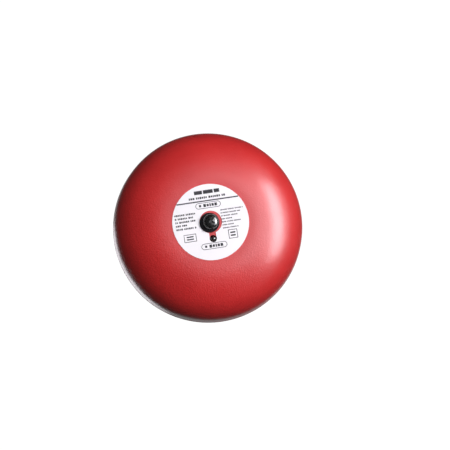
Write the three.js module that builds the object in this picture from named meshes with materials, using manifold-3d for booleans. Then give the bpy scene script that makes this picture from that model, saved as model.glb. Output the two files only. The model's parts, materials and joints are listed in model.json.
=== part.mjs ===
// Electric fire alarm bell with a 6 in (152 mm) gong over its mechanism.
//
// A pressed steel gong hangs on a centre post in front of a die-cast mechanism housing. The housing
// sits on a steel plate that screws to a 4 in square electrical box. Inside it an AC solenoid drives
// a striker straight down against the inside of the gong, and a spring lifts the striker again.
//
// Millimetres. In the finished frame +Z is up, the gong faces -Y and the origin is the centre of the
// plate's wall face. The pieces are drawn in the wall frame: x to the right, y up, z out of the wall.

import * as THREE from 'three';
import { mergeVertices } from 'three/addons/utils/BufferGeometryUtils.js';
import Module from 'manifold-3d';

const wasm = await Module();
wasm.setup();

const degrees = THREE.MathUtils.degToRad;

// ---------------------------------------------------------------------------------------------
// Driving dimensions
// ---------------------------------------------------------------------------------------------

// Gap left between faces that touch, and around parts that are pressed or screwed into a hole.
const SEAT = 0.1;
const FIT = 0.15;

// How much deeper a tapped hole is than its screw.
const tapRunout = 2;

const gong = {
  diameter: 152.4,
  depth: 42,
  sheet: 1.6,
  crownRadius: 55,
  crownAngle: degrees(30),
  shoulderRadius: 30,
  draft: degrees(6),
  edgeRadius: 0.5,
};

const label = {
  diameter: 59,
  thickness: 0.25,
  holeDiameter: 17.4,
  neckWidth: 5.2,
  pinHoleDiameter: 5.6,
};

const gongScrew = {
  shankDiameter: 5.8,
  engagement: 9,
  headDiameter: 11.8,
  headHeight: 4,
  recessWidth: 5.8,
  recessDepth: 2.4,
  bladeThickness: 1.2,
};

const washer = { diameter: 15.2, thickness: 1.4 };

const post = {
  height: 7.4,
  acrossFlats: 12,
  flangeDiameter: 18,
  flangeThickness: 2,
  studDiameter: 9.5,
};

const pin = { diameter: 3.6, offset: 13, proud: 1.6 };

const plate = {
  size: 104,
  thickness: 1.6,
  cornerRadius: 8,
  boxSpacing: 88.9,
  slotWidth: 5.2,
  slotLength: 10,
};

// The housing is drawn round the solenoid: a bay on each side of the coil, and room in front and below.
const housing = {
  wall: 2.2,
  sideBay: 11.8,
  frontRoom: 2.8,
  bottomRoom: 6.15,
  cornerRadius: 11,
  edgeRadius: 4,
  bossHeight: 2,
  bossDiameter: 25,
  pinBossDiameter: 9,
};

const lug = { outside: 5, y: 31, radius: 5.5, thickness: 3.2 };

const machineScrew = { shankDiameter: 3.8, headDiameter: 8, headHeight: 2.6 };

const solenoid = {
  boreDiameter: 10,
  tubeWall: 1,
  coilLength: 41,
  flangeDiameter: 30,
  flangeThickness: 1.5,
  windingDiameter: 27,
  tapeThickness: 0.4,
  frameThickness: 2,
  frameWidth: 30,
  frameTab: 11,
  frameCrop: 5,
  backRoom: 2.55,
  screwGrip: 7,
};

const plunger = {
  clearance: 0.3,
  bottom: -6,
  standout: 15.35,
  grooveDepth: 1,
  grooveHeight: 1.3,
  grooveFromTop: 3,
  poleGap: 5,
};

const spring = { wireDiameter: 0.9, meanDiameter: 12.2, turns: 5 };

const striker = {
  rodDiameter: 4.4,
  runningClearance: 0.3,
  stroke: 3.2,
  reserve: 0.5,
  tipDiameter: 9,
  tipLength: 9,
  socketDepth: 5,
};

const backstop = { thickness: 5.6, margin: 1 };

const bush = { wall: 1.4, flange: 1.8, flangeThickness: 1.6 };

const terminals = {
  count: 4,
  pitch: 9.4,
  barrier: 1.3,
  width: 10.2,
  barrierZ: 7.4,
  floorZ: 12.4,
  baseZ: 20,
  endTab: 5.4,
  tabThickness: 3,
  screwDiameter: 3,
  screwLength: 5,
  headDiameter: 6,
  headHeight: 2,
  tabScrewHead: 5.1,
  tabScrewGrip: 6,
};

const wireWindow = { margin: 4.2, cornerRadius: 3 };

const saddle = { thickness: 0.9, margin: 0.8 };

const lead = { diameter: 1.8, sides: 8, steps: 12 };

const rectifier = { width: 5, height: 15, depth: 11, edgeRadius: 1.2, inFrontOfTerminals: 7 };

// The earth screw's distance outside the housing's left side, and below the centre.
const groundScrew = { outside: 9, below: 15 };

// ---------------------------------------------------------------------------------------------
// Levels and places that follow from the driving dimensions
// ---------------------------------------------------------------------------------------------

const plateFront = plate.thickness;
const housingBack = plateFront + SEAT;
const frameBackZ = plateFront + machineScrew.headHeight + SEAT + solenoid.backRoom;
const strikerZ = frameBackZ + solenoid.frameThickness + FIT + solenoid.flangeDiameter / 2;
const coilTop = solenoid.coilLength / 2;
const frameLegInside = coilTop + FIT;
const frameLegOutside = frameLegInside + solenoid.frameThickness;
const plungerTop = frameLegOutside + plunger.standout;
const housingHalfWidth = solenoid.flangeDiameter / 2 + housing.sideBay + housing.wall;
const housingInsideTop = plungerTop + backstop.thickness + 2 * SEAT;
const housingTop = housingInsideTop + housing.wall;
const housingBottom = frameLegOutside + solenoid.frameTab + housing.bottomRoom + housing.wall;
const housingFront = strikerZ + solenoid.flangeDiameter / 2 + housing.frontRoom + housing.bossHeight
  + housing.wall;
const bossFront = housingFront + housing.bossHeight;
const gongInsideZ = bossFront + SEAT + post.height + SEAT;
const gongFaceZ = gongInsideZ + gong.sheet;
const rimZ = gongFaceZ - gong.depth;
const washerFront = gongFaceZ + SEAT + washer.thickness;
const gongRadius = gong.diameter / 2;
const solenoidScrewPlaces = [[1, 1], [-1, -1]].map(([sx, sy]) => [
  sx * (solenoid.frameWidth / 2 - machineScrew.headDiameter / 2),
  sy * (frameLegOutside + solenoid.frameTab / 2),
]);
const boxSlotPlaces = [-1, 1].flatMap((sx) => [-1, 1].map((sy) => [
  sx * plate.boxSpacing / 2,
  sy * plate.boxSpacing / 2,
]));
const lugPlaces = [[-1, 1], [1, 1], [-1, -1], [1, -1]].map(([sx, sy]) => [
  sx * (housingHalfWidth + lug.outside),
  sy * lug.y,
]);
const groundPlace = [-housingHalfWidth - groundScrew.outside, -groundScrew.below];
const terminalsX = (solenoid.flangeDiameter + housing.sideBay) / 2;
const terminalsHalf = terminals.count * terminals.pitch / 2;
const terminalTabY = terminalsHalf + terminals.barrier / 2 + terminals.endTab / 2;
const terminalPlaces = Array.from({ length: terminals.count }, (_, i) => [
  terminalsX,
  (i - (terminals.count - 1) / 2) * terminals.pitch,
]);
const clipTop = plungerTop - plunger.grooveFromTop - SEAT;
const clipBottom = plungerTop - plunger.grooveFromTop - plunger.grooveHeight + SEAT;
const rectifierX = [
  housingHalfWidth - housing.wall - SEAT - rectifier.width,
  housingHalfWidth - housing.wall - SEAT,
];
const rectifierBack = terminals.baseZ + rectifier.inFrontOfTerminals;
const rectifierZ = [rectifierBack, rectifierBack + rectifier.depth];

// The gong's section: a flat centre, a wide crown arc, a tighter shoulder arc and a drafted wall, each
// tangent to the next. Angles are measured from the bell's axis to the surface normal.
const gongSection = (() => {
  const wallAngle = Math.PI / 2 - gong.draft;
  const wallTopZ = gongFaceZ
    - gong.crownRadius * (1 - Math.cos(gong.crownAngle))
    - gong.shoulderRadius * (Math.cos(gong.crownAngle) - Math.cos(wallAngle));
  const wallTopRadius = gongRadius - (wallTopZ - rimZ) * Math.tan(gong.draft);
  const shoulderX = wallTopRadius - gong.shoulderRadius * Math.sin(wallAngle);
  const shoulderZ = wallTopZ - gong.shoulderRadius * Math.cos(wallAngle);
  const arcStep = gong.crownRadius - gong.shoulderRadius;
  return {
    wallAngle,
    wallTopZ,
    shoulder: new THREE.Vector2(shoulderX, shoulderZ),
    crown: new THREE.Vector2(
      shoulderX - arcStep * Math.sin(gong.crownAngle),
      shoulderZ - arcStep * Math.cos(gong.crownAngle),
    ),
  };
})();

function gongInsideRadius(z) {
  const { wallTopZ, shoulder } = gongSection;
  if (z > wallTopZ) {
    const radius = gong.shoulderRadius - gong.sheet;
    return shoulder.x + Math.sqrt(radius ** 2 - (z - shoulder.y) ** 2);
  }
  return gongRadius - (z - rimZ) * Math.tan(gong.draft) - gong.sheet / Math.cos(gong.draft);
}

// At rest the striker stops short of the gong by its stroke and a small reserve.
const tipEndY = -(gongInsideRadius(strikerZ) - striker.stroke - striker.reserve);

// ---------------------------------------------------------------------------------------------
// Solids
// ---------------------------------------------------------------------------------------------

function toSolid(geometry) {
  const bare = geometry.clone();
  bare.deleteAttribute('normal');
  bare.deleteAttribute('uv');
  const merged = mergeVertices(bare, 1e-4);
  const index = merged.index.array;
  const triangles = [];
  for (let i = 0; i < index.length; i += 3) {
    const [a, b, c] = index.slice(i, i + 3);
    if (a !== b && b !== c && c !== a) triangles.push(a, b, c);
  }
  return new wasm.Manifold(new wasm.Mesh({
    numProp: 3,
    vertProperties: new Float32Array(merged.attributes.position.array),
    triVerts: new Uint32Array(triangles),
  }));
}

function toGeometry(solid) {
  const mesh = solid.getMesh();
  const geometry = new THREE.BufferGeometry();
  geometry.setAttribute('position', new THREE.BufferAttribute(mesh.vertProperties, 3));
  geometry.setIndex(new THREE.BufferAttribute(mesh.triVerts, 1));
  geometry.computeVertexNormals();
  return geometry;
}

function cut(geometry, ...tools) {
  return toGeometry(tools.reduce((solid, tool) => solid.subtract(toSolid(tool)), toSolid(geometry)));
}

function join(geometry, ...others) {
  return toGeometry(others.reduce((solid, other) => solid.add(toSolid(other)), toSolid(geometry)));
}

// A closed outline of (radius, height) points turned about the y axis.
function turned(outline, segments = 24) {
  const points = outline.map(([radius, height]) => new THREE.Vector2(radius, height));
  if (THREE.ShapeUtils.area(points) < 0) points.reverse();
  points.push(points[0].clone());
  return new THREE.LatheGeometry(points, segments);
}

// The same, about the z axis.
function turnedZ(outline, segments) {
  return turned(outline, segments).rotateX(Math.PI / 2);
}

function ring(innerRadius, outerRadius, low, high) {
  return [[innerRadius, low], [outerRadius, low], [outerRadius, high], [innerRadius, high]];
}

function rodZ(radius, low, high, [x, y] = [0, 0], segments = 24) {
  const geometry = new THREE.CylinderGeometry(radius, radius, high - low, segments);
  return geometry.rotateX(Math.PI / 2).translate(x, y, (low + high) / 2);
}

function rodY(radius, low, high, segments = 24) {
  const geometry = new THREE.CylinderGeometry(radius, radius, high - low, segments);
  return geometry.translate(0, (low + high) / 2, strikerZ);
}

function block(xs, ys, zs) {
  const [width, height, depth] = [xs, ys, zs].map(([low, high]) => high - low);
  const [x, y, z] = [xs, ys, zs].map(([low, high]) => (low + high) / 2);
  return new THREE.BoxGeometry(width, height, depth).translate(x, y, z);
}

function extrudedZ(shape, low, high, curveSegments = 6) {
  const options = { depth: high - low, bevelEnabled: false, curveSegments };
  return new THREE.ExtrudeGeometry(shape, options).translate(0, 0, low);
}

// A (y, z) outline carried along x.
function extrudedX(shape, low, high, curveSegments = 4) {
  const options = { depth: high - low, bevelEnabled: false, curveSegments };
  const turn = new THREE.Matrix4().makeBasis(
    new THREE.Vector3(0, 1, 0),
    new THREE.Vector3(0, 0, 1),
    new THREE.Vector3(1, 0, 0),
  );
  return new THREE.ExtrudeGeometry(shape, options).applyMatrix4(turn).translate(low, 0, 0);
}

function roundedRectangle([left, right], [bottom, top], radius) {
  const shape = new THREE.Shape();
  shape.absarc(right - radius, top - radius, radius, 0, Math.PI / 2);
  shape.absarc(left + radius, top - radius, radius, Math.PI / 2, Math.PI);
  shape.absarc(left + radius, bottom + radius, radius, Math.PI, Math.PI * 1.5);
  shape.absarc(right - radius, bottom + radius, radius, Math.PI * 1.5, Math.PI * 2);
  shape.closePath();
  return shape;
}

function arcPoints(centre, radius, from, to, steps) {
  return Array.from({ length: steps + 1 }, (_, i) => {
    const angle = from + (to - from) * i / steps;
    return [centre.x + radius * Math.sin(angle), centre.y + radius * Math.cos(angle)];
  });
}

// A tube of wire or lead along a smooth curve.
function tube(curve, diameter, sides, steps) {
  const section = new THREE.Shape();
  for (let i = 0; i < sides; i += 1) {
    const angle = 2 * Math.PI * i / sides;
    const [x, y] = [Math.cos(angle) * diameter / 2, Math.sin(angle) * diameter / 2];
    if (i === 0) section.moveTo(x, y);
    else section.lineTo(x, y);
  }
  section.closePath();
  return new THREE.ExtrudeGeometry(section, { steps, extrudePath: curve, curveSegments: 1 });
}

class Helix extends THREE.Curve {
  constructor(radius, low, high, turns) {
    super();
    Object.assign(this, { radius, low, high, turns });
  }

  // The last turn at each end closes up, so that the spring stands flat.
  getPoint(t, target = new THREE.Vector3()) {
    const angle = 2 * Math.PI * this.turns * t;
    const rise = THREE.MathUtils.smoothstep(t, 0.02, 0.98);
    const height = this.low + (this.high - this.low) * (0.25 * t + 0.75 * rise);
    return target.set(this.radius * Math.cos(angle), height, this.radius * Math.sin(angle));
  }
}

// ---------------------------------------------------------------------------------------------
// Gong group
// ---------------------------------------------------------------------------------------------

function gongSkin(inset) {
  const { crown, shoulder, wallAngle } = gongSection;
  return [
    ...arcPoints(crown, gong.crownRadius - inset, 0, gong.crownAngle, 4),
    ...arcPoints(shoulder, gong.shoulderRadius - inset, gong.crownAngle, wallAngle, 6).slice(1),
  ];
}

function makeGong() {
  const holeRadius = gongScrew.shankDiameter / 2 + FIT * 2;
  const edge = gong.edgeRadius;
  const insideRim = gongRadius - gong.sheet / Math.cos(gong.draft);
  const outline = [
    [holeRadius, gongFaceZ],
    ...gongSkin(0),
    [gongRadius - edge * Math.tan(gong.draft), rimZ + edge],
    [gongRadius - edge, rimZ],
    [insideRim + edge, rimZ],
    [insideRim - edge * Math.tan(gong.draft), rimZ + edge],
    ...gongSkin(gong.sheet).reverse(),
    [holeRadius, gongInsideZ],
  ];
  const pinHole = rodZ(label.pinHoleDiameter / 2, gongInsideZ - 1, gongFaceZ + 1, [0, -pin.offset], 20);
  return cut(turnedZ(outline, 60), pinHole);
}

// The label's cut-out is a keyhole: round about the washer, with a neck down to the pin hole.
function makeLabel() {
  const shape = new THREE.Shape();
  shape.absarc(0, 0, label.diameter / 2, 0, Math.PI * 2);
  const hole = label.holeDiameter / 2;
  const pinHole = label.pinHoleDiameter / 2;
  const upper = Math.asin(label.neckWidth / 2 / hole);
  const lower = Math.asin(label.neckWidth / 2 / pinHole);
  const keyhole = new THREE.Path();
  keyhole.absarc(0, 0, hole, -Math.PI / 2 + upper, Math.PI * 1.5 - upper);
  keyhole.absarc(0, -pin.offset, pinHole, Math.PI / 2 + lower, Math.PI * 2.5 - lower);
  keyhole.closePath();
  shape.holes.push(keyhole);
  const low = gongFaceZ + SEAT;
  return extrudedZ(shape, low, low + label.thickness, 20);
}

// Pan head with a cross recess whose four wings taper to the middle.
function makeGongScrew() {
  const head = gongScrew.headDiameter / 2;
  const shank = gongScrew.shankDiameter / 2;
  const low = washerFront + SEAT;
  const high = low + gongScrew.headHeight;
  const end = gongInsideZ - gongScrew.engagement;
  const wing = new THREE.Shape([
    new THREE.Vector2(-gongScrew.recessWidth / 2, high + 0.5),
    new THREE.Vector2(-gongScrew.recessWidth / 5, high - gongScrew.recessDepth),
    new THREE.Vector2(gongScrew.recessWidth / 5, high - gongScrew.recessDepth),
    new THREE.Vector2(gongScrew.recessWidth / 2, high + 0.5),
  ]);
  const blade = extrudedZ(wing, -gongScrew.bladeThickness / 2, gongScrew.bladeThickness / 2)
    .rotateX(Math.PI / 2);
  const body = turnedZ([
    [0, end],
    [shank - 0.8, end],
    [shank, end + 1],
    [shank, low],
    [head, low],
    [head, low + gongScrew.headHeight * 0.42],
    [head * 0.94, low + gongScrew.headHeight * 0.68],
    [head * 0.78, low + gongScrew.headHeight * 0.88],
    [head * 0.5, high],
    [0, high],
  ], 24);
  return cut(body, blade, blade.clone().rotateZ(Math.PI / 2));
}

function makeWasher() {
  const hole = gongScrew.shankDiameter / 2 + FIT;
  return turnedZ(ring(hole, washer.diameter / 2, gongFaceZ + SEAT, washerFront), 24);
}

// Hexagon column on a round flange, with a stud below it for the housing's boss.
function makePost() {
  const low = bossFront + SEAT;
  const bore = gongScrew.shankDiameter / 2 + FIT;
  const column = new THREE.CylinderGeometry(1, 1, post.height - post.flangeThickness, 6)
    .scale(post.acrossFlats / Math.sqrt(3), 1, post.acrossFlats / Math.sqrt(3))
    .rotateX(Math.PI / 2)
    .translate(0, 0, low + (post.height + post.flangeThickness) / 2);
  const turning = turnedZ([
    [0, low - housing.bossHeight - housing.wall],
    [post.studDiameter / 2, low - housing.bossHeight - housing.wall],
    [post.studDiameter / 2, low],
    [post.flangeDiameter / 2, low],
    [post.flangeDiameter / 2, low + post.flangeThickness - 0.4],
    [post.flangeDiameter / 2 - 0.4, low + post.flangeThickness],
    [0, low + post.flangeThickness],
  ], 24);
  const drilling = rodZ(bore, gongInsideZ - gongScrew.engagement - 1, gongInsideZ + 1);
  return cut(join(turning, column), drilling);
}

function makePin() {
  const radius = pin.diameter / 2;
  const end = gongFaceZ + pin.proud;
  return turnedZ([
    [0, housingFront - housing.wall + FIT],
    [radius, housingFront - housing.wall + FIT],
    [radius, end - 0.7],
    [radius * 0.6, end],
    [0, end],
  ], 20);
}

// ---------------------------------------------------------------------------------------------
// Plate and housing
// ---------------------------------------------------------------------------------------------

// A slot with round ends, which leaves a short flat at each end so that the arcs never cross.
function slotShape([x, y], width, height) {
  const endRadius = Math.min(width, height) / 2.02;
  return roundedRectangle([x - width / 2, x + width / 2], [y - height / 2, y + height / 2], endRadius);
}

function makePlate() {
  const half = plate.size / 2;
  const shape = roundedRectangle([-half, half], [-half, half], plate.cornerRadius);
  for (const place of boxSlotPlaces) shape.holes.push(slotShape(place, plate.slotLength, plate.slotWidth));
  for (const side of [-1, 1]) {
    const place = [side * plate.boxSpacing / 2, 0];
    shape.holes.push(slotShape(place, plate.slotWidth, plate.slotLength));
  }
  shape.holes.push(roundedRectangle(
    [terminalsX - housing.sideBay / 2, terminalsX + housing.sideBay / 2],
    [-terminalsHalf - wireWindow.margin, terminalsHalf + wireWindow.margin],
    wireWindow.cornerRadius,
  ));
  for (const [x, y] of [...lugPlaces, groundPlace]) {
    const hole = new THREE.Path();
    hole.absarc(x, y, machineScrew.shankDiameter / 2 + FIT, 0, Math.PI * 2);
    shape.holes.push(hole);
  }
  return extrudedZ(shape, 0, plate.thickness, 5);
}

// The housing's outer form and its cavity are the same form, one inset by the wall.
function housingForm(inset) {
  const shape = roundedRectangle(
    [-housingHalfWidth + inset, housingHalfWidth - inset],
    [-housingBottom + inset, housingTop - inset],
    housing.cornerRadius - inset,
  );
  const edge = housing.edgeRadius - inset;
  const front = housingFront - inset;
  const options = {
    depth: front - edge,
    bevelEnabled: true,
    bevelThickness: edge,
    bevelSize: edge,
    bevelOffset: -edge,
    bevelSegments: 2,
    curveSegments: 4,
  };
  return new THREE.ExtrudeGeometry(shape, options);
}

function makeHousing() {
  const back = housingBack;
  const below = block([-plate.size, plate.size], [-plate.size, plate.size], [-plate.size, back]);
  const bossBack = housingFront - housing.wall - housing.bossHeight;
  const centreBoss = rodZ(housing.bossDiameter / 2, bossBack, bossFront, [0, 0], 24);
  const pinBoss = rodZ(housing.pinBossDiameter / 2, bossBack, bossFront, [0, -pin.offset], 16);
  const lugs = lugPlaces.map(([x, y]) => {
    const side = Math.sign(x);
    const pad = new THREE.Shape();
    const inner = side * (housingHalfWidth - 1);
    const start = -side * Math.PI / 2;
    pad.moveTo(inner, y - side * lug.radius);
    pad.lineTo(x, y - side * lug.radius);
    pad.absarc(x, y, lug.radius, start, start + Math.PI);
    pad.lineTo(inner, y + side * lug.radius);
    pad.closePath();
    return extrudedZ(pad, back, back + lug.thickness, 5);
  });
  const lugHoles = lugPlaces.map((place) => rodZ(
    machineScrew.shankDiameter / 2 + FIT,
    back - 1,
    back + lug.thickness + 1,
    place,
    12,
  ));
  const columns = solenoidScrewPlaces.map((place) => rodZ(
    machineScrew.headDiameter / 2 - 0.4,
    frameBackZ + solenoid.frameThickness + SEAT,
    housingFront - housing.wall / 2,
    place,
    12,
  ));
  const columnHoles = solenoidScrewPlaces.map((place) => rodZ(
    machineScrew.shankDiameter / 2 + FIT,
    frameBackZ,
    frameBackZ + solenoid.frameThickness + solenoid.screwGrip + tapRunout,
    place,
    12,
  ));
  const ledges = [-1, 1].map((side) => block(
    [terminalsX - terminals.width / 2, housingHalfWidth - housing.wall / 2],
    [side * terminalTabY - terminals.endTab / 2, side * terminalTabY + terminals.endTab / 2],
    [terminals.baseZ + SEAT, housingFront - housing.wall / 2],
  ));
  const ledgeHoles = [-1, 1].map((side) => rodZ(
    terminals.screwDiameter / 2 + FIT,
    terminals.baseZ,
    terminals.baseZ + terminals.tabScrewGrip + tapRunout,
    [terminalsX, side * terminalTabY],
    12,
  ));
  const studHole = rodZ(post.studDiameter / 2 + FIT, bossBack - 1, bossFront + 1, [0, 0], 24);
  const pinRadius = pin.diameter / 2 + FIT;
  const pinHole = rodZ(pinRadius, housingFront - housing.wall, bossFront + 1, [0, -pin.offset], 16);
  const strikerHole = rodY(
    striker.rodDiameter / 2 + striker.runningClearance + bush.wall + FIT,
    -housingBottom - 1,
    -housingBottom + housing.wall + 1,
    20,
  );
  const shell = cut(housingForm(0), below, housingForm(housing.wall));
  const cast = join(shell, centreBoss, pinBoss, ...lugs, ...columns, ...ledges);
  return cut(cast, ...lugHoles, ...columnHoles, ...ledgeHoles, studHole, pinHole, strikerHole);
}

// A pan head screw on the z axis. Its seat is at z = 0, and the shank runs to -length.
function panScrew(shankDiameter, length, headDiameter, headHeight) {
  const head = headDiameter / 2;
  const shank = shankDiameter / 2;
  return turnedZ([
    [0, -length],
    [shank, -length],
    [shank, 0],
    [head, 0],
    [head, headHeight * 0.5],
    [head * 0.6, headHeight],
    [0, headHeight],
  ], 12);
}

// Green hexagon washer-head screw for the earth wire.
function makeGroundScrew() {
  const stem = panScrew(
    machineScrew.shankDiameter,
    plate.thickness,
    machineScrew.headDiameter * 1.2,
    machineScrew.headHeight * 0.4,
  );
  const hexagon = new THREE.CylinderGeometry(
    machineScrew.headDiameter * 0.55,
    machineScrew.headDiameter * 0.55,
    machineScrew.headHeight * 1.4,
    6,
  ).rotateX(Math.PI / 2).translate(0, 0, machineScrew.headHeight * 0.9);
  return join(stem, hexagon);
}

// ---------------------------------------------------------------------------------------------
// Solenoid, on the striker's axis
// ---------------------------------------------------------------------------------------------

// One strip of steel: a back that runs past both ends as fixing tabs, and two legs lanced from it.
function makeSolenoidFrame() {
  const { frameThickness, frameWidth, frameTab } = solenoid;
  const tabEnd = frameLegOutside + frameTab;
  const frontZ = strikerZ + solenoid.flangeDiameter / 2;
  const backOuter = frameBackZ;
  const backInner = frameBackZ + frameThickness;
  const outline = new THREE.Shape();
  outline.moveTo(-tabEnd, backOuter);
  outline.lineTo(tabEnd, backOuter);
  outline.lineTo(tabEnd, backInner);
  outline.lineTo(frameLegOutside, backInner);
  outline.lineTo(frameLegOutside, frontZ);
  outline.lineTo(frameLegInside, frontZ);
  outline.lineTo(frameLegInside, backInner);
  outline.lineTo(-frameLegInside, backInner);
  outline.lineTo(-frameLegInside, frontZ);
  outline.lineTo(-frameLegOutside, frontZ);
  outline.lineTo(-frameLegOutside, backInner);
  outline.lineTo(-tabEnd, backInner);
  outline.closePath();
  const plungerHole = rodY(solenoid.boreDiameter / 2, 0, tabEnd);
  const poleHole = rodY(solenoid.boreDiameter / 2, -tabEnd, 0);
  const screwHoles = solenoidScrewPlaces.map((place) => rodZ(
    machineScrew.shankDiameter / 2 + FIT,
    backOuter - 1,
    backInner + 1,
    place,
    16,
  ));
  // The front corners of the legs are cropped at 45 degrees.
  const crop = solenoid.frameCrop * Math.SQRT2;
  const corners = [-1, 1].map((side) => new THREE.BoxGeometry(crop, 4 * tabEnd, crop)
    .rotateY(Math.PI / 4)
    .translate(side * frameWidth / 2, 0, frontZ));
  const strip = extrudedX(outline, -frameWidth / 2, frameWidth / 2);
  return cut(strip, plungerHole, poleHole, ...screwHoles, ...corners);
}

function makeBobbin() {
  const bore = solenoid.boreDiameter / 2;
  const drum = bore + solenoid.tubeWall;
  const flange = solenoid.flangeDiameter / 2;
  const inner = coilTop - solenoid.flangeThickness;
  return turned([
    [bore, -coilTop],
    [flange, -coilTop],
    [flange, -inner],
    [drum, -inner],
    [drum, inner],
    [flange, inner],
    [flange, coilTop],
    [bore, coilTop],
  ], 24);
}

function makeWinding() {
  const drum = solenoid.boreDiameter / 2 + solenoid.tubeWall + SEAT;
  const reach = coilTop - solenoid.flangeThickness - SEAT;
  return turned(ring(drum, solenoid.windingDiameter / 2, -reach, reach), 24);
}

function makeTape() {
  const inner = solenoid.windingDiameter / 2 + SEAT;
  const reach = coilTop - solenoid.flangeThickness - SEAT;
  return turned(ring(inner, inner + solenoid.tapeThickness, -reach, reach), 24);
}

// Fixed core in the lower half of the bobbin, with a head under the frame's lower leg.
function makePolePiece() {
  const bore = striker.rodDiameter / 2 + striker.runningClearance;
  const body = solenoid.boreDiameter / 2 - FIT;
  const head = body + 2;
  const under = -frameLegOutside - SEAT;
  const top = plunger.bottom - plunger.poleGap;
  return turned([
    [bore, under - 1.8],
    [head - 0.5, under - 1.8],
    [head, under - 1.3],
    [head, under],
    [body, under],
    [body, top - 0.8],
    [body - 0.8, top],
    [bore, top],
  ], 20);
}

function makePlunger() {
  const radius = solenoid.boreDiameter / 2 - plunger.clearance;
  const socket = striker.rodDiameter / 2 + FIT;
  const socketTop = plunger.bottom + striker.socketDepth * 2;
  const grooveTop = plungerTop - plunger.grooveFromTop;
  const grooveBottom = grooveTop - plunger.grooveHeight;
  return turned([
    [socket, plunger.bottom],
    [radius - 0.8, plunger.bottom],
    [radius, plunger.bottom + 0.8],
    [radius, grooveBottom],
    [radius - plunger.grooveDepth, grooveBottom],
    [radius - plunger.grooveDepth, grooveTop],
    [radius, grooveTop],
    [radius, plungerTop - 0.8],
    [radius - 0.8, plungerTop],
    [0, plungerTop],
    [0, socketTop],
    [socket, socketTop],
  ], 20);
}

// Open retaining ring in the plunger's groove. The spring pushes up on it.
function makeClip() {
  const inner = solenoid.boreDiameter / 2 - plunger.clearance - plunger.grooveDepth + FIT;
  const outer = spring.meanDiameter / 2 + spring.wireDiameter;
  const mouth = degrees(38);
  const shape = new THREE.Shape();
  shape.absarc(0, 0, outer, Math.PI / 2 + mouth, Math.PI * 2.5 - mouth);
  shape.absarc(0, 0, inner, Math.PI * 2.5 - mouth, Math.PI / 2 + mouth, true);
  shape.closePath();
  return extrudedZ(shape, clipBottom, clipTop, 9).rotateX(-Math.PI / 2);
}

function makeSpring() {
  const low = frameLegOutside + SEAT + spring.wireDiameter / 2;
  const high = clipBottom - SEAT - spring.wireDiameter / 2;
  const helix = new Helix(spring.meanDiameter / 2, low, high, spring.turns);
  return tube(helix, spring.wireDiameter, 6, spring.turns * 10);
}

function makeStrikerRod() {
  const radius = striker.rodDiameter / 2;
  const top = plunger.bottom + striker.socketDepth * 2 - FIT;
  const bottom = tipEndY + striker.tipLength - striker.socketDepth + FIT;
  return turned([
    [0, bottom],
    [radius - 0.4, bottom],
    [radius, bottom + 0.4],
    [radius, top - 0.4],
    [radius - 0.4, top],
    [0, top],
  ], 16);
}

// Round-nosed hammer pressed on the end of the rod.
function makeStrikerTip() {
  const radius = striker.tipDiameter / 2;
  const socket = striker.rodDiameter / 2 + FIT;
  const top = tipEndY + striker.tipLength;
  const nose = arcPoints(new THREE.Vector2(0, tipEndY + radius), radius, Math.PI, Math.PI / 2, 5);
  return turned([
    ...nose,
    [radius, top - 1],
    [radius - 1, top],
    [socket, top],
    [socket, top - striker.socketDepth],
    [0, top - striker.socketDepth],
  ], 20);
}

// Flanged bush that guides the rod through the bottom of the housing.
function makeBush() {
  const bore = striker.rodDiameter / 2 + striker.runningClearance;
  const body = bore + bush.wall;
  const flangeTop = -housingBottom + housing.wall + SEAT + bush.flangeThickness;
  const flangeBottom = -housingBottom + housing.wall + SEAT;
  return turned([
    [bore, -housingBottom - 1],
    [body, -housingBottom - 1],
    [body, flangeBottom],
    [body + bush.flange, flangeBottom],
    [body + bush.flange, flangeTop],
    [bore, flangeTop],
  ], 20);
}

// Rubber pad that the plunger rests against.
function makeBackstop() {
  const radius = solenoid.boreDiameter / 2 + backstop.margin;
  const low = plungerTop + SEAT;
  const high = low + backstop.thickness;
  return turned([
    [0, low],
    [radius - 0.8, low],
    [radius, low + 0.8],
    [radius, high],
    [0, high],
  ], 20);
}

// ---------------------------------------------------------------------------------------------
// Terminals and leads
// ---------------------------------------------------------------------------------------------

// Barrier strip: a comb of walls that face the wall box, with a fixing tab at each end.
function makeTerminalBlock() {
  const { count, pitch, barrier, barrierZ, floorZ, baseZ, width } = terminals;
  const { endTab, tabThickness, screwLength } = terminals;
  const half = terminalsHalf + barrier / 2;
  const outline = new THREE.Shape();
  outline.moveTo(-half - endTab, baseZ);
  outline.lineTo(-half - endTab, baseZ - tabThickness);
  outline.lineTo(-half, baseZ - tabThickness);
  for (let i = 0; i <= count; i += 1) {
    const y = (i - count / 2) * pitch;
    if (i > 0) outline.lineTo(y - barrier / 2, floorZ);
    outline.lineTo(y - barrier / 2, barrierZ);
    outline.lineTo(y + barrier / 2, barrierZ);
    if (i < count) outline.lineTo(y + barrier / 2, floorZ);
  }
  outline.lineTo(half, baseZ - tabThickness);
  outline.lineTo(half + endTab, baseZ - tabThickness);
  outline.lineTo(half + endTab, baseZ);
  outline.closePath();
  const strip = extrudedX(outline, terminalsX - width / 2, terminalsX + width / 2);
  const hole = terminals.screwDiameter / 2 + FIT;
  const wells = terminalPlaces.map((place) => rodZ(hole, floorZ - 1, floorZ + screwLength + 1, place, 12));
  const tabHoles = [-1, 1].map((side) => rodZ(hole, 0, baseZ + 1, [terminalsX, side * terminalTabY], 12));
  return cut(strip, ...wells, ...tabHoles);
}

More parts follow.
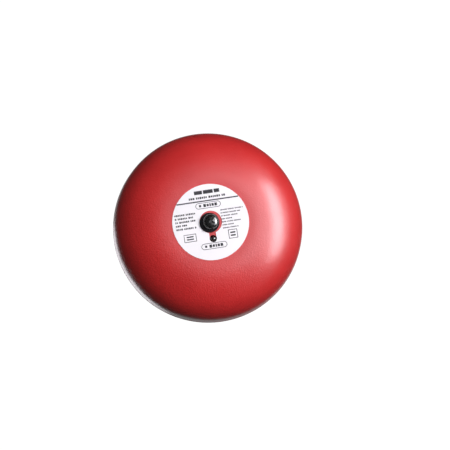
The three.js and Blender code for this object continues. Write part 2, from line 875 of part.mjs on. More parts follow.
// Square wire clamp under a terminal screw.
function makeSaddle() {
  const side = (terminals.pitch - terminals.barrier) / 2 - saddle.margin;
  const low = terminals.floorZ - SEAT;
  const high = low - saddle.thickness;
  const plateShape = roundedRectangle([-side, side], [-side, side], 0.8);
  const hole = new THREE.Path();
  hole.absarc(0, 0, terminals.screwDiameter / 2 + FIT, 0, Math.PI * 2);
  plateShape.holes.push(hole);
  return extrudedZ(plateShape, high, low, 4);
}

function makeRectifier() {
  const half = rectifier.height / 2;
  const outline = roundedRectangle([-half, half], rectifierZ, rectifier.edgeRadius);
  return extrudedX(outline, rectifierX[0], rectifierX[1], 3);
}

function smoothTube(points) {
  const curve = new THREE.CatmullRomCurve3(points.map((point) => new THREE.Vector3(...point)));
  return tube(curve, lead.diameter, lead.sides, lead.steps);
}

// The three leads lie between the coil and the housing's right-hand wall.
function leadRoutes() {
  const coilSide = solenoid.windingDiameter / 2 + solenoid.tapeThickness + SEAT * 2 + 0.2;
  const coilEnd = coilTop - solenoid.flangeThickness;
  const ledgeSide = terminalsHalf + terminals.barrier / 2;
  const endY = Math.min(coilEnd, ledgeSide) - lead.diameter;
  const tail = terminals.baseZ + SEAT + lead.diameter * 0.2;
  const lowerPlace = terminalPlaces.at(-2);
  const upperPlace = terminalPlaces.at(-1);
  const bodyX = rectifierX[0] - SEAT - lead.diameter * 0.2;
  const bodyZ = (rectifierZ[0] + rectifierZ[1]) / 2;
  const quarter = rectifier.height / 4;
  return {
    coil_lead_top: [
      [coilSide, endY, strikerZ],
      [coilSide + 0.8, endY, strikerZ],
      [coilSide + 2.4, endY, strikerZ + 2],
      [terminalsX, upperPlace[1] + 2, strikerZ + 3],
      [terminalsX, upperPlace[1], tail + 1],
      [terminalsX, upperPlace[1], tail],
    ],
    coil_lead_bottom: [
      [coilSide, -endY, strikerZ],
      [coilSide + 0.8, -endY, strikerZ],
      [coilSide + 2.4, -endY + 1, strikerZ + 2],
      [bodyX - 2, -quarter - 5, bodyZ - 1],
      [bodyX - 1, -quarter, bodyZ],
      [bodyX, -quarter, bodyZ],
    ],
    rectifier_lead: [
      [bodyX, quarter, bodyZ],
      [bodyX - 1, quarter, bodyZ],
      [bodyX - 1.5, (quarter + lowerPlace[1]) / 2, bodyZ - 4],
      [terminalsX - 1.5, lowerPlace[1] - 1, tail + 2],
      [terminalsX - 1.5, lowerPlace[1] - 1, tail],
    ],
  };
}

// ---------------------------------------------------------------------------------------------
// Assembly
// ---------------------------------------------------------------------------------------------

function finish(color, roughness, metalness = 0) {
  return () => new THREE.MeshStandardMaterial({ color, roughness, metalness });
}

const redPaint = finish(0xb3201f, 0.42);
const whiteVinyl = finish(0xf2f2ef, 0.45);
const blackOxide = finish(0x15161a, 0.38, 0.7);
const brightZinc = finish(0xb4b8bb, 0.35, 0.9);
const plateZinc = finish(0xa9adab, 0.42, 0.85);
const castBlack = finish(0x1d1e20, 0.55, 0.1);
const magnetSteel = finish(0x8d9196, 0.4, 0.9);
const nylon = finish(0xe2dccb, 0.5);
const enamelCopper = finish(0x8c3d1d, 0.4, 0.6);
const yellowTape = finish(0xd8b63a, 0.5);
const bronze = finish(0xa9814a, 0.4, 0.9);
const blackRubber = finish(0x1a1a1a, 0.85);
const blackPhenolic = finish(0x222222, 0.5);
const greenZinc = finish(0x2f7d43, 0.4, 0.7);
const springSteel = finish(0xa3a6a8, 0.3, 0.95);

function add(group, name, geometry, makeMaterial) {
  const mesh = new THREE.Mesh(geometry, makeMaterial());
  mesh.name = name;
  group.add(mesh);
  return mesh;
}

const bell = new THREE.Group();
bell.name = 'fire_alarm_bell';

const wallFrame = new THREE.Group();
wallFrame.rotation.x = Math.PI / 2;
bell.add(wallFrame);

const strikerAxis = new THREE.Group();
strikerAxis.position.z = strikerZ;
wallFrame.add(strikerAxis);

add(wallFrame, 'gong', makeGong(), redPaint);
add(wallFrame, 'gong_label', makeLabel(), whiteVinyl);
add(wallFrame, 'gong_screw', makeGongScrew(), blackOxide);
add(wallFrame, 'gong_washer', makeWasher(), blackOxide);
add(wallFrame, 'centre_post', makePost(), brightZinc);
add(wallFrame, 'positioning_pin', makePin(), brightZinc).position.y = -pin.offset;
add(wallFrame, 'mounting_plate', makePlate(), plateZinc);
add(wallFrame, 'mechanism_housing', makeHousing(), castBlack);

lugPlaces.forEach(([x, y], i) => {
  const { shankDiameter, headDiameter, headHeight } = machineScrew;
  const seatZ = housingBack + lug.thickness + SEAT;
  const geometry = panScrew(shankDiameter, seatZ - SEAT, headDiameter, headHeight);
  add(wallFrame, `housing_screw_${i + 1}`, geometry, brightZinc).position.set(x, y, seatZ);
});

add(wallFrame, 'ground_screw', makeGroundScrew(), greenZinc)
  .position.set(...groundPlace, plateFront + SEAT);

add(wallFrame, 'solenoid_frame', makeSolenoidFrame(), magnetSteel);
solenoidScrewPlaces.forEach(([x, y], i) => {
  const { shankDiameter, headDiameter, headHeight } = machineScrew;
  const length = solenoid.frameThickness + solenoid.screwGrip;
  const geometry = panScrew(shankDiameter, length, headDiameter, headHeight);
  const screw = add(wallFrame, `solenoid_screw_${i + 1}`, geometry, brightZinc);
  screw.rotation.x = Math.PI;
  screw.position.set(x, y, frameBackZ - SEAT);
});

add(strikerAxis, 'coil_bobbin', makeBobbin(), nylon);
add(strikerAxis, 'coil_winding', makeWinding(), enamelCopper);
add(strikerAxis, 'coil_tape', makeTape(), yellowTape);
add(strikerAxis, 'pole_piece', makePolePiece(), magnetSteel);
add(strikerAxis, 'plunger', makePlunger(), magnetSteel);
add(strikerAxis, 'spring_clip', makeClip(), springSteel);
add(strikerAxis, 'return_spring', makeSpring(), springSteel);
add(strikerAxis, 'striker_rod', makeStrikerRod(), brightZinc);
add(strikerAxis, 'striker_tip', makeStrikerTip(), nylon);
add(strikerAxis, 'guide_bush', makeBush(), bronze);
add(strikerAxis, 'backstop_pad', makeBackstop(), blackRubber);

add(wallFrame, 'terminal_block', makeTerminalBlock(), blackPhenolic);
[-1, 1].forEach((side, i) => {
  const { screwDiameter, tabScrewHead, tabScrewGrip, headHeight, baseZ, tabThickness } = terminals;
  const geometry = panScrew(screwDiameter, tabThickness + tabScrewGrip, tabScrewHead, headHeight);
  const screw = add(wallFrame, `block_screw_${i + 1}`, geometry, brightZinc);
  screw.rotation.x = Math.PI;
  screw.position.set(terminalsX, side * terminalTabY, baseZ - tabThickness - SEAT);
});
terminalPlaces.forEach(([x, y], i) => {
  const { screwDiameter, screwLength, headDiameter, headHeight, floorZ } = terminals;
  add(wallFrame, `wire_clamp_${i + 1}`, makeSaddle(), brightZinc).position.set(x, y, 0);
  const geometry = panScrew(screwDiameter, screwLength, headDiameter, headHeight);
  const screw = add(wallFrame, `terminal_screw_${i + 1}`, geometry, bronze);
  screw.rotation.x = Math.PI;
  screw.position.set(x, y, floorZ - 2 * SEAT - saddle.thickness);
});

add(wallFrame, 'rectifier', makeRectifier(), blackPhenolic);
const routes = leadRoutes();
add(wallFrame, 'coil_lead_top', smoothTube(routes.coil_lead_top), blackRubber);
add(wallFrame, 'coil_lead_bottom', smoothTube(routes.coil_lead_bottom), blackRubber);
add(wallFrame, 'rectifier_lead', smoothTube(routes.rectifier_lead), blackRubber);

export default bell;
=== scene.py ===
import json
import math

import bmesh
import bpy
from mathutils import Matrix, Vector
from mathutils.geometry import tessellate_polygon


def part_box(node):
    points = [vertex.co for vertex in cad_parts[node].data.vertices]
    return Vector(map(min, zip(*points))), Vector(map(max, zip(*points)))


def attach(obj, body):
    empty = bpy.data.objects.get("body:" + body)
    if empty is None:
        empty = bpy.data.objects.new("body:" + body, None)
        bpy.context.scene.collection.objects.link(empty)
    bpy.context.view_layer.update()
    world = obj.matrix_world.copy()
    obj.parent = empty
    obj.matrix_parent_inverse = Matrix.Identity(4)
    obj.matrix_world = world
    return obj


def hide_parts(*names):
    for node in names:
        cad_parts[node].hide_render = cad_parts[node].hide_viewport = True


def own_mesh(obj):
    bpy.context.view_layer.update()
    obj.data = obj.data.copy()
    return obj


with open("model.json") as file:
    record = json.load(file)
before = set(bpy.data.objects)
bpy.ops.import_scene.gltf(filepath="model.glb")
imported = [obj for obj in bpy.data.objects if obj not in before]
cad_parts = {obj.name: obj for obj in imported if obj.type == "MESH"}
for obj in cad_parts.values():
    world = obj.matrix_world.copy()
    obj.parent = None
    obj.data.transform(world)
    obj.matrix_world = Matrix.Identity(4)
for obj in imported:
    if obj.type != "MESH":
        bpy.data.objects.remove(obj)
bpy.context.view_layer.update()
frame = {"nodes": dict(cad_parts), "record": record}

MM = 0.001
ON_AXIS = 1e-9

# ------------------------------------------------------------------------------------------------
# Places taken from the frame. The bell's axis is -Y, and "out" is the distance from the wall.
# ------------------------------------------------------------------------------------------------


def span(node, axis):
    """Lowest and highest coordinate of a node along an axis, in metres."""
    low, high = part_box(node)
    return low[axis], high[axis]


def out_span(node):
    """How far from the wall a node starts and ends."""
    low, high = span(node, 1)
    return -high, -low


WALL_FRAME = Matrix(((1, 0, 0, 0), (0, 0, -1, 0), (0, 1, 0, 0), (0, 0, 0, 1)))
RIM_OUT, FACE_OUT = out_span("gong")
# The frame's gong is faceted and measures a little less than its true radius.
GONG_RADIUS = 76.2 * MM
PIN_DOWN = -sum(span("positioning_pin", 2)) / 2
STRIKER_OUT = sum(out_span("striker_rod")) / 2
STRIKER_AXIS = Matrix.Translation((0, -STRIKER_OUT, 0))


def at(x, up, out=0.0):
    """A frame whose z comes out of the wall, at a place on the plate."""
    return WALL_FRAME @ Matrix.Translation((x, up, out))


# ------------------------------------------------------------------------------------------------
# Materials
# ------------------------------------------------------------------------------------------------


class Nodes:
    """Adds and links shader nodes of one material."""

    def __init__(self, name):
        self.material = bpy.data.materials.new(name)
        self.material.use_nodes = True
        self.tree = self.material.node_tree
        self.shader = self.tree.nodes["Principled BSDF"]
        self.place = self.add("ShaderNodeTexCoord").outputs["Object"]

    def add(self, kind, **settings):
        node = self.tree.nodes.new(kind)
        for key, value in settings.items():
            setattr(node, key, value)
        return node

    def link(self, source, target):
        self.tree.links.new(source, target)

    def stretched(self, scale):
        mapping = self.add("ShaderNodeMapping")
        mapping.inputs["Scale"].default_value = scale
        self.link(self.place, mapping.inputs["Vector"])
        return mapping.outputs["Vector"]

    def noise(self, scale, detail=3.0, place=None):
        node = self.add("ShaderNodeTexNoise")
        node.inputs["Scale"].default_value = scale
        node.inputs["Detail"].default_value = detail
        self.link(place or self.place, node.inputs["Vector"])
        return node.outputs["Fac"]

    def ramp(self, source, stops):
        """A colour ramp through (position, colour) stops; a single number is a grey."""
        node = self.add("ShaderNodeValToRGB")
        elements = node.color_ramp.elements
        while len(elements) < len(stops):
            elements.new(0.5)
        for element, (position, colour) in zip(elements, stops):
            grey = isinstance(colour, (int, float))
            element.position = position
            element.color = (colour, colour, colour, 1) if grey else (*colour, 1)
        self.link(source, node.inputs["Fac"])
        return node.outputs["Color"]

    def edges(self, radius):
        """Where the surface normal is near an edge: it differs there from a rounded one."""
        rounded_normal = self.add("ShaderNodeBevel", samples=4)
        rounded_normal.inputs["Radius"].default_value = radius
        product = self.add("ShaderNodeVectorMath", operation="DOT_PRODUCT")
        self.link(rounded_normal.outputs["Normal"], product.inputs[0])
        self.link(self.add("ShaderNodeNewGeometry").outputs["Normal"], product.inputs[1])
        return self.ramp(product.outputs["Value"], [(0.86, 1), (0.98, 0)])

    def mixed(self, factor, first, second):
        node = self.add("ShaderNodeMix", data_type="RGBA")
        self.link(factor, node.inputs["Factor"])
        self.link(first, node.inputs["A"])
        self.link(second, node.inputs["B"])
        return node.outputs["Result"]

    def bump(self, height, strength, distance, normal=None):
        node = self.add("ShaderNodeBump")
        node.inputs["Strength"].default_value = strength
        node.inputs["Distance"].default_value = distance
        self.link(height, node.inputs["Height"])
        if normal:
            self.link(normal, node.inputs["Normal"])
        return node.outputs["Normal"]


def shade(colour, factor):
    """A darker or lighter tone of a colour."""
    return tuple(min(1.0, channel * factor) for channel in colour)


EDGE_WEAR = 0.5 * MM


def surface(name, colour, roughness, metallic=0.0, variation=0.12, cloud=60.0, grain=900.0,
            grain_depth=0.02, wear=None, coat=0.0, specular=0.5, grain_stretch=(1, 1, 1)):
    """A finish with cloudy colour, uneven roughness, a fine grain and, where asked, worn edges.

    cloud and grain are how many patches go into a metre, and grain_depth is in millimetres.
    """
    nodes = Nodes(name)
    shader = nodes.shader
    clouds = nodes.noise(cloud, 4.0)
    base = nodes.ramp(clouds, [
        (0.3, shade(colour, 1 - variation)),
        (0.7, shade(colour, 1 + variation)),
    ])
    if wear:
        bare = nodes.ramp(clouds, [(0.3, shade(wear, 0.85)), (0.7, wear)])
        base = nodes.mixed(nodes.edges(EDGE_WEAR), base, bare)
    nodes.link(base, shader.inputs["Base Color"])
    smudges = nodes.noise(cloud * 3.1, 5.0)
    nodes.link(nodes.ramp(smudges, [(0.25, roughness * 0.85), (0.75, min(1, roughness * 1.18))]),
               shader.inputs["Roughness"])
    peel = nodes.noise(grain, 2.0, nodes.stretched(grain_stretch))
    nodes.link(nodes.bump(peel, 0.6, grain_depth * MM), shader.inputs["Normal"])
    shader.inputs["Metallic"].default_value = metallic
    shader.inputs["Coat Weight"].default_value = coat
    shader.inputs["Specular IOR Level"].default_value = specular
    return nodes.material


def red_powder_coat():
    """Satin red powder coat: a fine orange peel over a slightly uneven film."""
    nodes = Nodes("gong_paint")
    shader = nodes.shader
    clouds = nodes.noise(28.0, 3.0)
    nodes.link(nodes.ramp(clouds, [(0.3, (0.58, 0.018, 0.018)), (0.7, (0.66, 0.024, 0.023))]),
               shader.inputs["Base Color"])
    nodes.link(nodes.ramp(nodes.noise(140.0, 4.0), [(0.3, 0.42), (0.7, 0.5)]),
               shader.inputs["Roughness"])
    broad = nodes.bump(nodes.noise(420.0, 2.0), 0.8, 0.1 * MM)
    fine = nodes.bump(nodes.noise(1100.0, 2.0), 1.0, 0.24 * MM, broad)
    nodes.link(fine, shader.inputs["Normal"])
    shader.inputs["Specular IOR Level"].default_value = 0.8
    shader.inputs["Coat Weight"].default_value = 0.9
    shader.inputs["Coat Roughness"].default_value = 0.27
    shader.inputs["Coat IOR"].default_value = 1.7
    return nodes.material


FINISHES = {
    "label_vinyl": dict(colour=(0.9, 0.9, 0.9), roughness=0.42, variation=0.02, grain=2500),
    "label_ink": dict(colour=(0.03, 0.03, 0.035), roughness=0.5, variation=0.25, cloud=500),
    "black_oxide": dict(colour=(0.25, 0.26, 0.25), roughness=0.27, metallic=1.0, variation=0.2, cloud=300,
                        specular=0.7, wear=(0.4, 0.4, 0.4)),
    "dull_oxide": dict(colour=(0.006, 0.006, 0.0065), roughness=0.5, variation=0.2, cloud=400, specular=0.2),
    "bright_zinc": dict(colour=(0.62, 0.64, 0.66), roughness=0.28, metallic=1.0, variation=0.08, cloud=250,
                        grain=1400, grain_depth=0.01),
    "plate_zinc": dict(colour=(0.56, 0.575, 0.58), roughness=0.36, metallic=1.0, variation=0.1, cloud=90,
                       grain=500, grain_depth=0.012, grain_stretch=(0.15, 1, 3)),
    "housing_black": dict(colour=(0.022, 0.023, 0.025), roughness=0.48, variation=0.2, cloud=80,
                          grain=1300, grain_depth=0.06, wear=(0.07, 0.07, 0.072)),
    "green_zinc": dict(colour=(0.06, 0.3, 0.1), roughness=0.34, metallic=0.8, variation=0.15, cloud=300),
    "magnet_steel": dict(colour=(0.42, 0.43, 0.44), roughness=0.4, metallic=1.0, variation=0.12, cloud=120,
                         grain=700, grain_depth=0.015, grain_stretch=(1, 1, 0.1)),
    "nylon": dict(colour=(0.76, 0.72, 0.62), roughness=0.45, variation=0.05, cloud=150, coat=0.1),
    "enamel_copper": dict(colour=(0.5, 0.15, 0.06), roughness=0.3, metallic=0.85, variation=0.18, cloud=300),
    "yellow_tape": dict(colour=(0.78, 0.5, 0.06), roughness=0.3, variation=0.06, coat=0.3),
    "spring_steel": dict(colour=(0.55, 0.55, 0.56), roughness=0.25, metallic=1.0, variation=0.1, cloud=400),
    "bronze": dict(colour=(0.55, 0.35, 0.15), roughness=0.42, metallic=1.0, variation=0.12, cloud=300,
                   grain=2200, grain_depth=0.02),
    "brass_screw": dict(colour=(0.72, 0.52, 0.22), roughness=0.3, metallic=1.0, variation=0.1, cloud=300),
    "black_rubber": dict(colour=(0.022, 0.022, 0.023), roughness=0.8, variation=0.2, grain=1800),
    "phenolic": dict(colour=(0.03, 0.03, 0.032), roughness=0.42, variation=0.2, grain=1500,
                     wear=(0.07, 0.07, 0.07)),
    "lead_sleeve": dict(colour=(0.03, 0.03, 0.035), roughness=0.45, variation=0.2),
}
MATERIALS = {"gong_paint": red_powder_coat()}
MATERIALS.update({name: surface(name, **finish) for name, finish in FINISHES.items()})

# The finish of each CAD node, as the record names it.
SLOT_OF = {row["node"]: row["material_slot"] for row in frame["record"]["subparts"]}


# ------------------------------------------------------------------------------------------------
# Mesh building
# ------------------------------------------------------------------------------------------------

# Edges that turn by more degrees than this are drawn sharp, unless a piece says otherwise.
SHARP_ANGLE = 32


def object_from(name, bm, body, slot_name, material=None, sharp=SHARP_ANGLE, bevel=None):
    """Turns a bmesh into a piece that rides on a body, with smooth shading between sharp edges."""
    bmesh.ops.remove_doubles(bm, verts=bm.verts, dist=1e-7)
    bmesh.ops.recalc_face_normals(bm, faces=bm.faces)
    mesh = bpy.data.meshes.new(name)
    bm.to_mesh(mesh)
    bm.free()
    piece = bpy.data.objects.new(name, mesh)
    bpy.context.scene.collection.objects.link(piece)
    mesh.materials.append(MATERIALS[material or slot_name])
    if bevel:
        modifier = piece.modifiers.new("edges", "BEVEL")
        modifier.width = bevel
        modifier.segments = 2
        modifier.limit_method = "ANGLE"
        modifier.angle_limit = math.radians(sharp)
        apply_modifiers(piece)
    piece.data.shade_smooth()
    piece.data.set_sharp_from_angle(angle=math.radians(sharp))
    if bevel:
        flatten_normals(piece.data, math.cos(math.radians(sharp)))
    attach(piece, body)
    return piece


def flatten_normals(mesh, sharp_cosine):
    """Large flat faces keep their own normal, and the small rounds beside them blend into it."""
    around = [[] for _ in mesh.vertices]
    for polygon in mesh.polygons:
        for vertex in polygon.vertices:
            around[vertex].append(polygon)
    normals = []
    for polygon in mesh.polygons:
        for vertex in polygon.vertices:
            total = Vector()
            for other in around[vertex]:
                if other.normal.dot(polygon.normal) > sharp_cosine:
                    total += other.normal * (other.area / MM ** 2) ** 3
            normals.append(total.normalized() if total.length > 0 else polygon.normal.copy())
    mesh.normals_split_custom_set(normals)


def apply_modifiers(piece):
    """Turns what the modifiers make into the piece's own mesh."""
    depsgraph = bpy.context.evaluated_depsgraph_get()
    mesh = bpy.data.meshes.new_from_object(piece.evaluated_get(depsgraph))
    piece.modifiers.clear()
    piece.data = mesh


def stand_in(node, bm, **settings):
    """A finer piece in the place of one CAD node, on the same body and in the same finish."""
    body = next(name for name, nodes in frame["record"]["behaviour"]["bodies"].items() if node in nodes)
    piece = object_from(f"{node}_fine", bm, body, SLOT_OF[node], **settings)
    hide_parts(node)
    return piece


def rows_to_mesh(bm, rows, matrix=Matrix(), closed=False):
    """Stitches rows of points into a skin. A row of one point is a pole."""
    made = [[bm.verts.new(matrix @ Vector(point)) for point in row] for row in rows]
    pairs = list(zip(made, made[1:]))
    if closed:
        pairs.append((made[-1], made[0]))
    for lower, upper in pairs:
        count = max(len(lower), len(upper))
        for i in range(count):
            j = (i + 1) % count
            corners = [row[k % len(row)] for row, k in ((lower, i), (lower, j), (upper, j), (upper, i))]
            unique = list(dict.fromkeys(corners))
            if len(unique) > 2:
                bm.faces.new(unique)


def circle(radius, steps):
    """Points round a circle about the origin."""
    angles = (2 * math.pi * i / steps for i in range(steps))
    return [(radius * math.cos(angle), radius * math.sin(angle)) for angle in angles]


def ring_row(radius, height, segments):
    """A level ring of points about local z, or the one point where it meets the axis."""
    if radius < ON_AXIS:
        return [(0, 0, height)]
    return [(x, y, height) for x, y in circle(radius, segments)]


def meets_axis(profile):
    """Whether an outline starts or ends on the axis that it turns about."""
    return profile[0][0] < ON_AXIS or profile[-1][0] < ON_AXIS


def spun(profile, matrix=Matrix(), segments=96):
    """A body of revolution about local z. The profile closes on itself unless it meets the axis."""
    bm = bmesh.new()
    rows = [ring_row(radius, height, segments) for radius, height in profile]
    rows_to_mesh(bm, rows, matrix, closed=not meets_axis(profile))
    return bm


def rounded(profile, radius):
    """Rounds every corner of a (radius, height) outline, except where it meets the axis."""
    count = len(profile)
    steps = 4
    closed = not meets_axis(profile)
    flattest = math.radians(80)
    result = []
    for i, corner in enumerate(profile):
        corner = Vector(corner)
        if not closed and i in (0, count - 1):
            result.append(tuple(corner))
            continue
        before = Vector(profile[i - 1]) - corner
        after = Vector(profile[(i + 1) % count]) - corner
        cosine = max(-1.0, min(1.0, before.normalized().dot(after.normalized())))
        half = math.acos(cosine) / 2
        if half > flattest:
            result.append(tuple(corner))
            continue
        reach = min(radius / math.tan(half), before.length * 0.45, after.length * 0.45)
        start = corner + before.normalized() * reach
        end = corner + after.normalized() * reach
        for k in range(steps + 1):
            t = k / steps
            point = start * (1 - t) ** 2 + corner * 2 * t * (1 - t) + end * t ** 2
            result.append(tuple(point))
    return result


def angles_between(start, end, steps):
    """Angles at even steps, with both ends."""
    return [start + (end - start) * i / steps for i in range(steps + 1)]


def arc(centre, radius, start, end, steps):
    """Points on an arc in the (radius, height) plane; angles run from the axis to the surface normal."""
    return [(centre[0] + radius * math.sin(angle), centre[1] + radius * math.cos(angle))
            for angle in angles_between(start, end, steps)]


def add_slab(bm, loops, low, high, matrix):
    """Adds a flat plate between two levels: the first loop is its outline, the others are holes."""
    flat = [[Vector((x, y, 0)) for x, y in loop] for loop in loops]
    points = [point for loop in flat for point in loop]
    levels = [[bm.verts.new(matrix @ Vector((p.x, p.y, level))) for p in points] for level in (low, high)]
    for triangle in tessellate_polygon(flat):
        for level in levels:
            bm.faces.new([level[i] for i in triangle])
    start = 0
    for loop in loops:
        count = len(loop)
        for i in range(count):
            a, b = start + i, start + (i + 1) % count
            bm.faces.new([levels[0][a], levels[0][b], levels[1][b], levels[1][a]])
        start += count


def refined(node, bevel, sharp=SHARP_ANGLE):
    """The CAD node's own shape with its flat faces joined up and its edges broken by a small round."""
    bm = bmesh.new()
    bm.from_mesh(frame["nodes"][node].data)
    bmesh.ops.remove_doubles(bm, verts=bm.verts, dist=1e-6)
    bmesh.ops.dissolve_limit(bm, angle_limit=math.radians(0.5), verts=bm.verts, edges=bm.edges)
    stand_in(node, bm, sharp=sharp, bevel=bevel)


def cut_by(piece, cutter_bm):
    """Cuts one mesh with another by an exact boolean."""
    mesh = bpy.data.meshes.new("cutter")
    bmesh.ops.recalc_face_normals(cutter_bm, faces=cutter_bm.faces)
    cutter_bm.to_mesh(mesh)
    cutter_bm.free()
    cutter = bpy.data.objects.new("cutter", mesh)
    bpy.context.scene.collection.objects.link(cutter)
    modifier = piece.modifiers.new("cut", "BOOLEAN")
    modifier.operation = "DIFFERENCE"
    modifier.solver = "EXACT"
    modifier.object = cutter
    apply_modifiers(piece)
    bpy.data.objects.remove(cutter)
    if not piece.data.polygons:
        raise ValueError(f"{piece.name} was cut away")
    piece.data.shade_smooth()
    piece.data.set_sharp_from_angle(angle=math.radians(SHARP_ANGLE))


def tube(points, radius, sides=16, matrix=Matrix()):
    """A round wire along a list of points, with flat ends."""
    bm = bmesh.new()
    path = [Vector(point) for point in points]
    rows = []
    side = None
    for i, point in enumerate(path):
        along = (path[min(i + 1, len(path) - 1)] - path[max(i - 1, 0)]).normalized()
        if side is None:
            side = along.orthogonal().normalized()
        side = (side - along * side.dot(along)).normalized()
        other = along.cross(side)
        rows.append([point + side * x + other * y for x, y in circle(radius, sides)])
    rows_to_mesh(bm, [[path[0]]] + rows + [[path[-1]]], matrix)
    return bm


# ------------------------------------------------------------------------------------------------
# Gong, label and the screw in its middle
# ------------------------------------------------------------------------------------------------

# The pressed sheet: a flat centre, the crown's and the shoulder's arcs, and a drafted wall.
SHEET = 1.6 * MM
CROWN_RADIUS = 55 * MM
CROWN_ANGLE = math.radians(30)
SHOULDER_RADIUS = 30 * MM
DRAFT = math.radians(6)
CENTRE_HOLE = 3.2 * MM
PIN_HOLE = 2.8 * MM


def gong_centres():
    """The angle at which the wall starts, and the centres of the shoulder and crown arcs."""
    wall_angle = math.pi / 2 - DRAFT
    wall_top = (FACE_OUT - CROWN_RADIUS * (1 - math.cos(CROWN_ANGLE))
                - SHOULDER_RADIUS * (math.cos(CROWN_ANGLE) - math.cos(wall_angle)))
    wall_radius = GONG_RADIUS - (wall_top - RIM_OUT) * math.tan(DRAFT)
    shoulder = (wall_radius - SHOULDER_RADIUS * math.sin(wall_angle),
                wall_top - SHOULDER_RADIUS * math.cos(wall_angle))
    step = CROWN_RADIUS - SHOULDER_RADIUS
    crown = (shoulder[0] - step * math.sin(CROWN_ANGLE), shoulder[1] - step * math.cos(CROWN_ANGLE))
    return wall_angle, shoulder, crown


def gong_skin(inset):
    """One side of the pressed sheet, from the flat centre to the top of the wall."""
    wall_angle, shoulder, crown = gong_centres()
    radii = (CENTRE_HOLE + 0.5 * MM, 6 * MM, 18 * MM, crown[0] - 0.4 * MM)
    flat = [(radius, FACE_OUT - inset) for radius in radii]
    dome = arc(crown, CROWN_RADIUS - inset, 0, CROWN_ANGLE, 24)
    edge = arc(shoulder, SHOULDER_RADIUS - inset, CROWN_ANGLE, wall_angle, 32)
    return flat + dome + edge[1:]


def make_gong():
    """Both skins of the sheet and the rounded rim between them, with the pin's hole drilled."""
    inside_rim = GONG_RADIUS - SHEET / math.cos(DRAFT)
    wall_drop = math.tan(DRAFT)
    outer_wall = [(GONG_RADIUS - wall_drop * rise * MM, RIM_OUT + rise * MM) for rise in (8, 4, 1)]
    inner_wall = [(inside_rim - wall_drop * rise * MM, RIM_OUT + rise * MM) for rise in (1, 4, 8)]
    middle = (GONG_RADIUS + inside_rim) / 2
    bead = [(middle + SHEET * 0.5 * math.cos(angle), RIM_OUT + SHEET * 0.5 * (1 - math.sin(angle)))
            for angle in angles_between(0, math.pi, 10)]
    profile = gong_skin(0) + outer_wall + bead + inner_wall + gong_skin(SHEET)[::-1]
    chamfer = 0.2 * MM
    hole = [(CENTRE_HOLE + chamfer, FACE_OUT - SHEET), (CENTRE_HOLE, FACE_OUT - SHEET + chamfer),
            (CENTRE_HOLE, FACE_OUT - chamfer), (CENTRE_HOLE + chamfer, FACE_OUT)]
    gong = stand_in("gong", spun(profile + hole, WALL_FRAME, 256), sharp=40)
    reach = 3 * MM
    drill = spun([(0, -reach), (PIN_HOLE, -reach), (PIN_HOLE, reach), (0, reach)],
                 at(0, -PIN_DOWN, FACE_OUT), 48)
    cut_by(gong, drill)


def keyhole(radius, neck, foot):
    """Round hole about the axis with a straight neck down to a smaller round foot."""
    upper = math.asin(neck / radius)
    lower = math.asin(neck / foot)
    big = [(radius * math.sin(angle), -radius * math.cos(angle))
           for angle in angles_between(upper, 2 * math.pi - upper, 40)]
    small = [(foot * math.sin(angle), -PIN_DOWN - foot * math.cos(angle))
             for angle in angles_between(math.pi + lower, 3 * math.pi - lower, 20)]
    return big + small


LABEL_OUT = out_span("gong_label")
LABEL_RADIUS = 29.5 * MM
LABEL_HOLE = 8.7 * MM
LABEL_NECK = 2.6 * MM


def make_label():
    """A thin disc with the keyhole that shows the gong round the screw and the pin."""
    bm = bmesh.new()
    hole = keyhole(LABEL_HOLE, LABEL_NECK, PIN_HOLE)
    add_slab(bm, [circle(LABEL_RADIUS, 160), hole], *LABEL_OUT, WALL_FRAME)
    stand_in("gong_label", bm, bevel=0.06 * MM)


def stadium(u, v, width, height):
    """Outline of a bar with round ends."""
    radius = height / 2
    reach = width / 2 - radius
    turns = angles_between(0, math.pi, 10)
    right = [(u + reach + radius * math.sin(angle), v - radius * math.cos(angle)) for angle in turns]
    left = [(u - reach - radius * math.sin(angle), v + radius * math.cos(angle)) for angle in turns]
    return right + left


def box_outline(u, v, width, height):
    """Outline of a rectangle about its middle."""
    return [(u - width / 2, v - height / 2), (u + width / 2, v - height / 2),
            (u + width / 2, v + height / 2), (u - width / 2, v + height / 2)]


def greeked_line(u, v, width, height, seed):
    """Blocks that stand for a line of print: uneven words of uneven strokes, and no letters."""
    blocks = []
    left = u
    index = seed
    while left < u + width - height * 0.5:
        index += 1
        stroke = height * (0.42 + 0.4 * abs(math.sin(index * 2.3)))
        tall = height * (0.72 + 0.28 * abs(math.cos(index * 1.7)))
        blocks.append(box_outline(left + stroke / 2, v, stroke, tall))
        left += stroke + height * (0.75 if index % 6 == 0 else 0.22)
    return blocks


# The print, in millimetres from the middle of the label: u to the right, v up.
INK = 0.03
RULE = {"v": 16.7, "height": 0.95}
HEADLINE = {"v": 23.6, "height": 2.8, "bars": ((-9.4, 6.2), (-2.4, 7.6), (6.0, 4.2))}
SUBTITLE = {"left": -14.0, "v": 19.4, "width": 28.0, "height": 1.7}
PANELS = {"height": 4.7, "line": 0.4, "places": ((13.2, 19.6), (-18.4, 20.0))}
TEXT_BLOCKS = [
    {"left": -27.0, "v": 8.2, "pitch": 2.7, "height": 1.45, "widths": (16.5, 14.5, 15.5, 9.5, 15.5)},
    {"left": 8.6, "v": 8.0, "pitch": 2.35, "height": 0.95,
     "widths": (18.0, 15.5, 13.5, 9.0, 15.5, 9.0, 12.5)},
]
FRAMES = {"line": 0.45, "places": ((-17.4, -10.2, 9.6, 6.0), (15.6, -11.4, 7.0, 7.0))}


